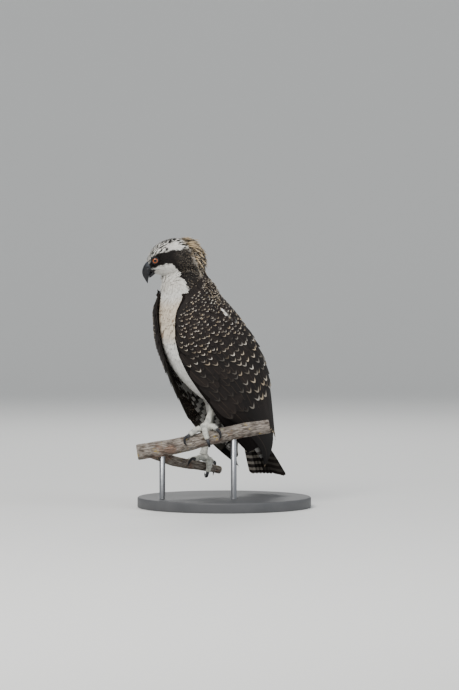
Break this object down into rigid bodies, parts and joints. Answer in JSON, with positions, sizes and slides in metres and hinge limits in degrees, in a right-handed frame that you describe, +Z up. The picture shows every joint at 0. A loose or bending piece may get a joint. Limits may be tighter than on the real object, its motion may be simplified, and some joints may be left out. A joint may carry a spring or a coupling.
{
  "type": "osprey",
  "caption": "Life-size juvenile osprey perched on a short forked branch, wings folded and head turned to its right, on a flat display base with upright rods.",
  "frame": {"origin": "centre of the display base's underside", "axes": "+Z up, the body faces -Y and its left side is +X"},
  "size_m": [0.3, 0.3046, 0.4636],
  "materials": {
    "feathers_dark": "blackish-brown flight and covert feathers with buff-white crescent tips, soft satin",
    "feathers_pale": "white to buff body feathers, matte, with a dark eye stripe and rusty breast streaks",
    "eye": "glossy orange iris round a black pupil",
    "bill": "blue-black horn, satin, with a grey cere",
    "claw": "black horn, satin gloss",
    "foot_skin": "pale blue-grey scaly skin, matte",
    "bark": "weathered grey-brown bark with cracks and patches of yellow lichen",
    "stand_base": "dark grey satin paint",
    "stand_rod": "brushed steel"
  },
  "bodies": {
    "root": {"head": "feathers_pale", "neck": "feathers_pale", "torso": "feathers_pale", "thigh_left": "feathers_pale", "thigh_right": "feathers_pale", "wing_left": "feathers_dark", "wing_right": "feathers_dark", "tail": "feathers_dark", "eye_left": "eye", "eye_right": "eye", "bill_upper": "bill", "bill_lower": "bill", "tarsus_left": "foot_skin", "tarsus_right": "foot_skin", "toe_left_inner": "foot_skin", "claw_left_inner": "claw", "toe_left_middle": "foot_skin", "claw_left_middle": "claw", "toe_left_outer": "foot_skin", "claw_left_outer": "claw", "toe_left_hind": "foot_skin", "claw_left_hind": "claw", "toe_right_inner": "foot_skin", "claw_right_inner": "claw", "toe_right_middle": "foot_skin", "claw_right_middle": "claw", "toe_right_outer": "foot_skin", "claw_right_outer": "claw", "toe_right_hind": "foot_skin", "claw_right_hind": "claw", "perch_limb": "bark", "perch_fork": "bark", "stand_base": "stand_base", "stand_rod_1": "stand_rod", "stand_rod_2": "stand_rod"}
  },
  "joints": []
}
